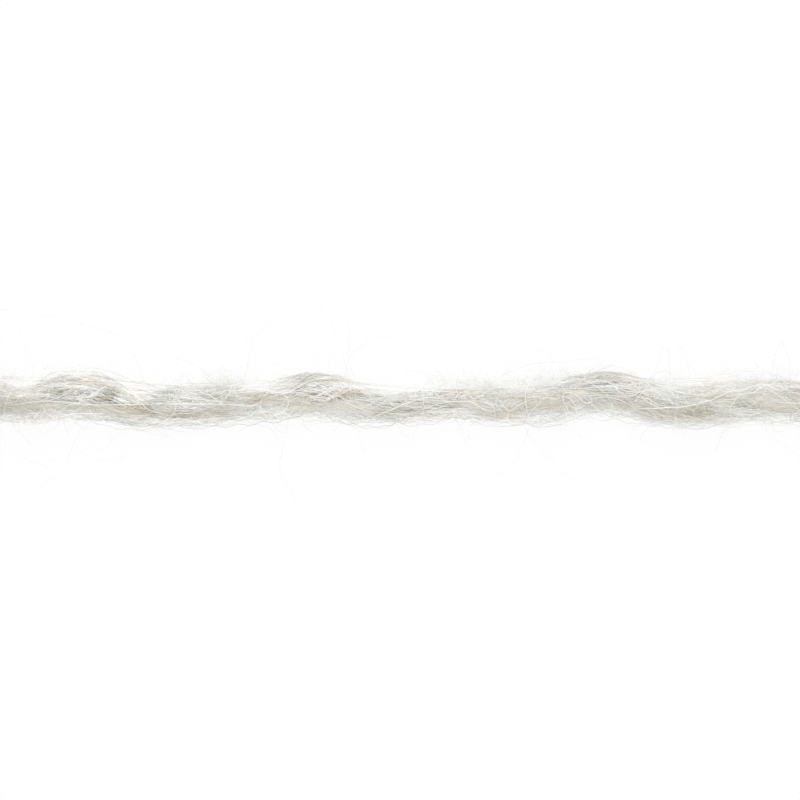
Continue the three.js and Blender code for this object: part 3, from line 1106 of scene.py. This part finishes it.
def wandering(steps, reach, curls):
    """Smooth random paths of those lengths in a plane, as the ways gone ahead and aside."""
    count = len(reach)
    curl = each(count, *curls)
    t = np.linspace(0, 1, steps)[None, :]
    heading = rng.choice([0, math.pi], (count, 1)) + rng.normal(0, OFF_COURSE, (count, 1))
    for beats, share in CURLS:
        phase = each(count, 0, 2 * math.pi)
        beat = 2 * math.pi * beats * each(count, *CURL_UNEVENNESS)
        heading = heading + curl * share * np.sin(beat * t + phase)
    step = reach[:, None] / (steps - 1)
    ahead, aside = np.cos(heading) * step, np.sin(heading) * step
    return np.cumsum(ahead, axis=1) - ahead[:, :1], np.cumsum(aside, axis=1) - aside[:, :1]


def stray_curls(count):
    x0 = rng.uniform(-STRAY_END, STRAY_END, count)
    ahead, aside = wandering(STRAY_STEPS, rng.uniform(*STRAY_LENGTH, count), STRAY_CURL)
    angle = ply_turn("woolly", x0) + rng.normal(0, STRAY_AROUND, count)
    x = np.clip(x0[:, None] + ahead, -HALF_LENGTH, HALF_LENGTH)
    t = np.linspace(0, 1, STRAY_STEPS)[None, :]
    out = each(count, *STRAY_OUT)
    out = out + STRAY_DIP[0] * np.sin(STRAY_DIP[1] * t + each(count, 0, ANY_START))
    out = out - STRAY_TUCK * (2 * t - 1) ** 10
    lines = eased(on_strand(x, angle[:, None] + aside / STRAY_RADIUS, out), 2)
    return batch(lines, STRAY_THICKNESS, tints(count, *STRAY_TINT), spread=0.3, end=0.6)


fibre_piece("stray_curls", [stray_curls(STRAY_CURLS)], woolly_fibre)

# Mist and edge curls
# The finest down of the wool, too fine to see one by one, hangs beside the crests of the woolly ply as a
# pale mist. Curls nearly as fine hang along the edge towards -Y. Both are ends that the spinning left out.
MIST_THICKNESS = 0.012
MIST_STEPS = 12
MIST_LENGTH = (0.8, 2.4)
MIST_CURL = (0.5, 1.6)
MIST_TINT = 0.5
# Depth under the skin and height over it, and how much of a curl's way aside is also a way up
MIST_HEIGHT = (-0.5, 0.2)
MIST_RISE = 0.2
# Each row is one cloud: x and y of its middle, half length, half width and number of fibres.
MIST = (
    (-24.0, 1.50, 3.5, 0.40, 90),
    (-14.0, 0.85, 2.4, 0.25, 90),
    (-12.1, 1.10, 1.1, 0.18, 130),
    (11.6, 1.30, 1.6, 0.20, 130),
    (4.4, 0.95, 2.2, 0.25, 130),
    (8.6, 0.85, 3.0, 0.25, 200),
    (19.8, 1.10, 2.6, 0.30, 100),
    (26.0, 1.50, 3.0, 0.25, 70),
)
EDGE_CURLS = 330
EDGE_CURL_THICKNESS = 0.018
EDGE_CURL_LENGTH = (1.0, 4.0)
EDGE_CURL = (0.2, 0.9)
EDGE_CURL_TINT = (0.55, 0.15)
# How far inside the packed middle the curls start, how far out they go, and how flat the curls lie
EDGE_CURL_INSIDE = 0.1
EDGE_CURL_OUT = (1.5, 0.16)
EDGE_CURL_FLATNESS = 0.5
EDGE_CURL_HEIGHT = (0.2, 1.0)

rng = np.random.default_rng(19)


def mist(x, y, long, wide, count):
    x0 = x + long * rng.uniform(-1, 1, count)
    y0 = y + wide * rng.standard_normal(count)
    ahead, aside = wandering(MIST_STEPS, rng.uniform(*MIST_LENGTH, count), MIST_CURL)
    z = skin_height(x0, y0)[:, None] + each(count, *MIST_HEIGHT) + MIST_RISE * aside
    lines = at(x0[:, None] + ahead, y0[:, None] + aside, z)
    return batch(lines, MIST_THICKNESS, np.full(count, MIST_TINT), end=0.6)


def edge_curls(count):
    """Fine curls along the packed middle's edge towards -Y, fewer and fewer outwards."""
    x0 = rng.uniform(-HALF_LENGTH, HALF_LENGTH, count)
    y0 = along("packed_side", x0) - along("packed_half", x0) + EDGE_CURL_INSIDE
    y0 = y0 - rng.gamma(*EDGE_CURL_OUT, count)
    ahead, aside = wandering(MIST_STEPS, rng.uniform(*EDGE_CURL_LENGTH, count), EDGE_CURL)
    z = along("height", x0)[:, None] * each(count, *EDGE_CURL_HEIGHT) + MIST_RISE * aside
    lines = at(x0[:, None] + ahead, y0[:, None] + EDGE_CURL_FLATNESS * aside, z)
    return batch(lines, EDGE_CURL_THICKNESS, tints(count, *EDGE_CURL_TINT), end=0.6)


fibre_piece("wool_mist", [*(mist(*row) for row in MIST), edge_curls(EDGE_CURLS)], fine_fibre)

# Surface threads
# The thickest mohair fibres, which the eye follows along the top of the strand. Each row is one: its
# thickness, height off the skin, tint, and its route as seen from above.
THREADS = (
    (0.048, 0.14, 0.68, ((-28.56, -0.53), (-28, -0.46), (-26.95, -0.39), (-25.83, -0.21),
        (-24.5, -0.07), (-22.68, -0.21), (-21.56, -0.33), (-19.6, -0.33), (-16.8, -0.28), (-14, -0.28),
        (-10.5, -0.35), (-9.66, -0.49))),
    (0.058, 0.14, 0.80, ((-1.96, -1.26), (-1.61, -1.08), (-0.63, -0.7), (0, -0.39), (0.95, -0.07),
        (1.68, 0.15), (2.24, 0.15), (2.8, 0.07))),
    (0.043, 0.13, 0.70, ((-2.1, -0.77), (-1.61, -0.44), (-1.19, -0.17), (-0.63, -0.01), (0.07, 0.04))),
    (0.043, 0.13, 0.75, ((1.05, -0.81), (1.75, -0.6), (2.35, -0.39), (2.87, -0.22), (3.64, -0.11))),
    (0.066, 0.16, 0.80, ((13.58, 0.11), (14, 0.2), (14.59, 0.2), (15.23, 0.04), (15.76, -0.22),
        (16.3, -0.49), (17, -0.6), (17.75, -0.57), (18.55, -0.52), (19.36, -0.49), (20.16, -0.36),
        (20.97, -0.17), (21.66, -0.01), (22.26, 0.27), (22.81, 0.53), (23.08, 0.66), (23.56, 0.58),
        (24.05, 0.74), (24.69, 1.01), (25.44, 1.06), (25.76, 0.9), (26.24, 0.66), (26.61, 0.66),
        (26.99, 0.9), (27.42, 0.95), (27.72, 0.81), (28, 0.74), (28.56, 0.77))),
    (0.055, 0.15, 0.75, ((9.14, 1.37), (9.06, 1.17), (8.71, 0.47), (8.65, 0.15), (8.76, -0.55),
        (8.92, -1.13), (9.24, -1.51))),
    (0.051, 0.15, 0.75, ((8.54, 0.04), (8.81, 0.15), (9.24, 0.24), (9.67, 0.26), (9.83, -0.01),
        (9.35, -0.49), (9.03, -0.81), (8.92, -1.13), (8.82, -1.4))),
    (0.047, 0.14, 0.75, ((6.58, 0.21), (6.94, -0.06), (7.21, -0.49), (7.64, -0.81), (8.01, -0.49),
        (8.6, -0.17), (9.1, 0))),
    (0.047, 0.14, 0.70, ((5.53, -0.11), (5.92, -0.17), (6.41, -0.33), (6.62, -0.76), (6.67, -1.3))),
    (0.058, 0.15, 0.77, ((11.83, -1.05), (11.7, -0.76), (11.33, -0.06), (11.28, 0.36), (11.54, 0.55),
        (12.13, 0.47), (12.51, 0.15), (12.73, -0.17), (13.31, -0.22), (13.48, -0.01), (13.26, 0.15),
        (12.95, 0.25))),
    (0.043, 0.13, 0.70, ((11.41, -0.14), (11.7, -0.33), (12.03, -0.55), (12.51, -0.6), (12.83, -0.39),
        (13.02, -0.14))),
    (0.051, 0.14, 0.75, ((26.04, -0.11), (26.6, -0.17), (27.09, -0.22), (27.65, -0.22), (28, -0.17),
        (28.84, -0.07))),
    (0.047, 0.14, 0.73, ((26.04, -0.91), (26.51, -0.97), (27.09, -0.97), (27.58, -0.87), (28, -0.65),
        (28.56, -0.35))),
    (0.039, 0.13, 0.70, ((23.1, 0.81), (23.35, 0.63), (23.88, 0.26), (24.47, -0.22), (24.78, -0.49))),
    (0.039, 0.13, 0.70, ((22.96, 0.6), (23.38, 0.35), (23.8, 0), (24.22, -0.39), (24.64, -0.77))),
    (0.043, 0.14, 0.75, ((-13.65, 0.56), (-13.09, 0.21), (-12.67, -0.07), (-12.32, -0.32),
        (-11.97, -0.63))),
    (0.043, 0.14, 0.73, ((-11.69, 0.7), (-11.97, 0.28), (-12.32, -0.21), (-12.67, -0.56),
        (-12.88, -0.91))),
    (0.039, 0.13, 0.73, ((-12.18, 0.63), (-12.39, 0.21), (-12.46, -0.21), (-12.18, -0.63),
        (-11.83, -0.91))),
    (0.039, 0.14, 0.75, ((-11.48, -0.18), (-11.06, 0.11), (-10.5, 0.21), (-10.08, 0), (-9.66, 0.11))),
    (0.039, 0.14, 0.70, ((-12.04, -0.39), (-11.2, -0.35), (-10.36, -0.46), (-9.66, -0.25), (-9.24, 0))),
    (0.043, 0.13, 0.75, ((-18.2, -0.39), (-17.64, -0.63), (-17.01, -0.84), (-16.52, -0.98),
        (-16.1, -0.91))),
    (0.039, 0.13, 0.75, ((-26.39, -0.35), (-25.97, -0.56), (-25.48, -0.81), (-25.06, -1.02))),
    (0.039, 0.13, 0.70, ((-24.15, 1.33), (-24.12, 0.91), (-24.22, 0.49), (-24.5, 0.07),
        (-24.78, -0.35))),
    (0.039, 0.13, 0.75, ((-5.53, -0.49), (-5.11, -0.14), (-4.69, 0.25), (-4.27, 0.63), (-3.78, 0.84))),
    (0.039, 0.13, 0.70, ((-4.06, -0.07), (-3.5, -0.28), (-2.8, -0.56), (-2.03, -0.81), (-1.12, -0.91))),
    (0.043, 0.13, 0.73, ((-3.36, 0.07), (-2.38, 0), (-1.54, 0.07), (-0.7, 0.32), (0.14, 0.42))),
)
# Length of a step along a thread, points between two stops, and how deep its two ends are tucked
THREAD_STEP = 0.12
STOPS_BETWEEN = 12
THREAD_TUCK = 0.3


def through(stops, step):
    """A smooth line through the stops of a route, in even steps."""
    stops = np.array(stops, float)
    stops = np.vstack([2 * stops[0] - stops[1], stops, 2 * stops[-1] - stops[-2]])
    t = np.linspace(0, 1, STOPS_BETWEEN, endpoint=False)[:, None]
    stretches = [smooth_stretch(*four, t) for four in zip(stops, stops[1:], stops[2:], stops[3:])]
    line = np.vstack([*stretches, stops[-2:-1]])
    far = np.concatenate([[0], np.cumsum(np.linalg.norm(np.diff(line, axis=0), axis=1))])
    places = np.linspace(0, far[-1], max(4, round(far[-1] / step)))
    return np.column_stack([np.interp(places, far, column) for column in line.T])


def surface_thread(thickness, lift, tint, stops):
    x, y = through(stops, THREAD_STEP).T
    z = skin_height(x, y) + lift - THREAD_TUCK * np.linspace(-1, 1, len(x)) ** 20
    lines = eased(at(x, y, z)[None], 6)
    return batch(lines, thickness, np.array([tint]), spread=0.1, end=0.6)


fibre_piece("surface_threads", [surface_thread(*row) for row in THREADS], silky_fibre, sides=6, smooth=True)

# Edge fibres
# Long fibres that hang a little off the strand's edges. They lie against the glowing white surface, and
# their tints are dark, painted shade, so that they read darker than it. Each row is one: its thickness,
# height over the surface, tint and route.
EDGE_FIBRES = (
    (0.035, 0.9, 0.07, ((-16.1, -1.33), (-15.33, -1.89), (-14.49, -2), (-13.65, -1.96), (-13.02, -1.79),
        (-12.46, -1.51), (-11.76, -1.19))),
    (0.035, 0.8, 0.07, ((4.9, -1.47), (5.6, -1.69), (6.24, -1.83), (7.21, -1.86), (8.28, -1.78),
        (8.92, -1.62), (9.56, -1.86), (10.63, -1.83), (11.49, -1.62), (12.4, -1.24), (12.88, -1.05))),
    (0.039, 0.7, 0.07, ((13.86, -0.63), (14.32, -0.78), (15.07, -0.97), (15.76, -1.08), (16.41, -1.24),
        (17, -1.46), (17.75, -1.56), (18.71, -1.69), (19.36, -1.86), (20.16, -1.99), (20.97, -2.04),
        (21.66, -1.94), (22.4, -1.72), (23.1, -1.47))),
    (0.031, 0.6, 0.17, ((-21, -0.84), (-19.74, -1.26), (-18.2, -1.68), (-16.8, -1.82), (-15.05, -1.79),
        (-13.3, -1.61), (-11.55, -1.33))),
    (0.031, 0.7, 0.22, ((-19.25, -1.05), (-18.2, -1.51), (-16.45, -1.68), (-14.7, -1.65),
        (-12.95, -1.47), (-11.2, -1.19))),
    (0.031, 0.6, 0.27, ((-4.9, -1.19), (-3.85, -1.4), (-2.66, -1.54), (-1.4, -1.61), (-0.14, -1.47),
        (1.05, -1.47), (2.8, -1.4))),
    (0.04, 1.8, 0.35, ((17.85, 1.05), (18.97, 1.44), (20.16, 1.5), (21.35, 1.52), (22.4, 1.4))),
    (0.04, 1.7, 0.3, ((-25.2, 1.12), (-24.99, 1.47), (-24.01, 1.97), (-22.4, 2), (-21.28, 1.92),
        (-20.44, 1.68), (-19.74, 1.12))),
    (0.035, 1.7, 0.35, ((-23.94, 1.68), (-23.1, 2), (-21.7, 2.03), (-20.72, 1.75), (-20.02, 1.4))),
    (0.035, 1.5, 0.4, ((-28, 1.58), (-27.44, 1.65), (-26.88, 1.54), (-25.9, 1.19))),
)
EDGE_FIBRE_STEP = 0.18
EDGE_FIBRE_SWAY = (0.15, 1.3)


def edge_fibre(thickness, height, tint, stops):
    x, y = through(stops, EDGE_FIBRE_STEP).T
    z = height + EDGE_FIBRE_SWAY[0] * np.sin(EDGE_FIBRE_SWAY[1] * x)
    return batch(at(x, y, z)[None], thickness, np.array([tint]), spread=0.1)


fibre_piece("edge_fibres", [edge_fibre(*row) for row in EDGE_FIBRES], fine_fibre, sides=4)

# Halo
# Fine single ends stand off the strand's top and both of its sides. The longest are in the CAD strand too,
# in the same rows: place of the root, the point towards which the fibre leaves, and its tip.
LOOSE_FIBRES = (
    (-28.4, -28.0, -4.2, -24.2, -4.9, 0.4),
    (-27.6, -26.5, -3.4, -23.8, -4.6, 0.6),
    (-25.5, -25.6, 3.0, -27.0, 5.6, 1.0),
    (-23.8, -23.2, -5.6, -19.0, -3.7, 0.3),
    (-21.7, -23.0, -5.6, -27.3, -7.3, 0.5),
    (-11.8, -13.0, 3.8, -28.0, 6.4, 1.4),
    (-11.2, -10.7, 2.4, -10.8, 4.3, 0.9),
    (-10.9, -11.2, 5.2, -7.8, 6.1, 0.7),
    (-7.0, -9.6, -4.6, -7.1, -7.3, 0.8),
    (-4.3, -3.4, 5.8, 0.0, 4.0, 1.2),
    (-3.8, -3.1, -2.3, -2.4, -3.7, 0.3),
    (-3.4, -3.6, 4.2, -6.2, 7.3, 1.0),
    (-2.8, -3.9, 3.6, -3.6, 6.2, 0.6),
    (3.5, 7.2, -10.0, 9.3, -0.6, 1.0),
    (4.6, 6.2, 2.6, 14.1, 3.0, 1.3),
    (8.0, 10.0, -4.6, 13.0, -6.0, 0.4),
    (16.8, 18.4, 4.4, 20.6, -0.3, 1.4),
    (17.5, 18.6, 7.6, 19.1, -0.3, 1.4),
    (24.0, 22.8, -2.0, 22.1, -3.6, 0.5),
    (24.9, 25.4, -2.6, 28.0, -3.9, 0.7),
    (25.9, 26.8, 8.6, 27.4, -0.1, 1.3),
)
LOOSE_THICKNESS = 0.024
LOOSE_FIBRE_STEPS = 48
LOOSE_TINT = 0.5
# The two sways of a long loose fibre: size, and the slowest and fastest pace
LOOSE_SWAYS = ((0.10, 9, 16), (0.04, 20, 36))
HALO_FIBRES = 420
HALO_STEPS = 20
HALO_THICKNESS = 0.018
HALO_TINT = (0.4, 0.2)
HALO_CURL = (0.2, 0.8)
# Lengths as drawn by chance, the shortest and longest that are kept, and how far the fibres stand up
HALO_LENGTH = (1.6, 0.9)
HALO_LENGTH_LIMITS = (0.6, 5.5)
HALO_TILT = (-0.4, 1.0)
# How far below the strand's sides they start, how much they lean over and flatten out, and the bend at
# their roots
HALO_BELOW = 0.5
HALO_LEAN = 0.15
HALO_FLATNESS = 0.8
ROOT_BEND = 0.2

rng = np.random.default_rng(17)


def loose_fibre(root, bend_x, bend_y, tip_x, tip_y, tip_z):
    start = np.array([root, along("side", root), along("height", root)])
    bend = np.array([bend_x, bend_y, (start[2] + tip_z) / 2])
    t = np.linspace(0, 1, LOOSE_FIBRE_STEPS)[:, None]
    line = start * (1 - t) ** 2 + 2 * bend * t * (1 - t) + np.array([tip_x, tip_y, tip_z]) * t**2
    sway = 0
    for size, slow, fast in LOOSE_SWAYS:
        sway = sway + size * np.sin(t * rng.uniform(slow, fast, 3) + rng.uniform(0, ANY_START, 3))
    lines = (line + sway * np.minimum(1, 4 * t))[None]
    return batch(lines, LOOSE_THICKNESS, np.array([LOOSE_TINT]), spread=0.1, end=0.6)


def halo(count):
    x0 = rng.uniform(-ROOTS_END, ROOTS_END, count)
    angle = rng.uniform(-HALO_BELOW, math.pi + HALO_BELOW, count)
    root = on_strand(x0, angle, -ROOT_DEPTH)
    reach = np.clip(rng.gamma(*HALO_LENGTH, count), *HALO_LENGTH_LIMITS)
    ahead, aside = wandering(HALO_STEPS, reach, HALO_CURL)
    tilt = rng.uniform(*HALO_TILT, count)[:, None]
    outward = aside * np.cos(tilt) + ahead * np.sin(tilt)
    x = root[:, :1] + ahead * np.cos(tilt) - aside * np.sin(tilt)
    lean = angle[:, None] + HALO_LEAN * outward
    away = np.sqrt(outward**2 + ROOT_BEND**2) - ROOT_BEND
    y = root[:, 1:2] + away * np.cos(lean)
    z = root[:, 2:] + away * np.sin(lean) * HALO_FLATNESS
    return batch(at(x, y, z), HALO_THICKNESS, tints(count, *HALO_TINT), end=0.6)


fibre_piece("halo_fibres", [halo(HALO_FIBRES), *(loose_fibre(*row) for row in LOOSE_FIBRES)], fine_fibre)

# Cut ends
# Scissors cut the strand at both ends. The cut fibres stand out of it in a blunt brush and spread a little,
# and the snip has left many of them stuck together by twos and threes.
CUT_FIBRES = 460
CUT_STEPS = 5
CUT_THICKNESS = 0.06
# The cut fibres are much paler than the woolly ones: painted light that fills the shade in the gaps of the
# cut brush
CUT_TINT = (0.92, 0.15)
CUT_CRINKLE = 0.04
# How far in the cut fibres start, and how far out of the strand they end
CUT_START = (1.5, 4.0)
CUT_END = (-0.15, 0.25)
# How far out in the ply they lie, how they turn, how they are drawn in at first and spread at the cut
CUT_SHARE = 0.92
CUT_TURN = 0.4
CUT_DRAWN_IN = 0.2
CUT_SPREAD = (-0.05, 0.15)

rng = np.random.default_rng(18)


def cut_end(ply, end):
    share = CUT_SHARE * np.sqrt(rng.random(CUT_FIBRES))[:, None]
    angle = each(CUT_FIBRES, 0, 2 * math.pi)
    t = np.linspace(0, 1, CUT_STEPS)[None, :]
    start = HALF_LENGTH - each(CUT_FIBRES, *CUT_START)
    x = end * (start + t * (HALF_LENGTH + each(CUT_FIBRES, *CUT_END) - start))
    splay = 1 - CUT_DRAWN_IN * (1 - t) ** 2 + each(CUT_FIBRES, *CUT_SPREAD) * t**2
    lines = crinkled(on_ply(ply, x, angle + CUT_TURN * t, share * splay), CUT_CRINKLE)
    return batch(lines, CUT_THICKNESS, tints(CUT_FIBRES, *CUT_TINT), spread=0.4, end=0.8)


fibre_piece("cut_ends", [cut_end(ply, end) for ply in PLY_TURN for end in (-1, 1)], woolly_fibre)

# Floor and light
# The yarn lies on a plain white surface that glows a little, so it throws no shadow. A wide, soft lamp
# stands behind it, towards the picture's top, and an even pale light comes from all round.
FLOOR_SIZE = 900.0
FLOOR_COLOUR = (0.06, 0.06, 0.06, 1)
FLOOR_ROUGHNESS = 0.9
FLOOR_GLOW = 0.929
LAMP_PLACE = (0, 240, 300)
LAMP_SIZE = (420, 300)
LAMP_POWER = 0.5
LAMP_COLOUR = (1.0, 0.99, 0.98)
ROOM_COLOUR = (0.98, 0.99, 1.0, 1)
ROOM_LIGHT = 1.04

floor_mesh = bpy.data.meshes.new("floor")
bm = bmesh.new()
bmesh.ops.create_grid(bm, x_segments=1, y_segments=1, size=FLOOR_SIZE * MM / 2)
bm.to_mesh(floor_mesh)
bm.free()
floor_material = bpy.data.materials.new("white_floor")
floor_material.use_nodes = True
set_inputs(
    floor_material.node_tree.nodes["Principled BSDF"],
    {
        "Base Color": FLOOR_COLOUR,
        "Roughness": FLOOR_ROUGHNESS,
        "Specular IOR Level": 0,
        "Emission Color": (1, 1, 1, 1),
        "Emission Strength": FLOOR_GLOW,
    },
)
floor_mesh.materials.append(floor_material)
floor = placed("floor", floor_mesh)

world = bpy.data.worlds.new("world")
world.use_nodes = True
set_inputs(world.node_tree.nodes["Background"], {"Color": ROOM_COLOUR, "Strength": ROOM_LIGHT})
bpy.context.scene.world = world

lamp_data = bpy.data.lights.new("key", "AREA")
lamp_data.shape = "RECTANGLE"
lamp_data.size, lamp_data.size_y = (side * MM for side in LAMP_SIZE)
lamp_data.energy = LAMP_POWER
lamp_data.color = LAMP_COLOUR
lamp = placed("key", lamp_data)
lamp.location = [c * MM for c in LAMP_PLACE]
lamp.rotation_mode = "QUATERNION"
lamp.rotation_quaternion = (-lamp.location).to_track_quat("-Z", "Y")
bpy.context.scene.view_settings.view_transform = "Standard"
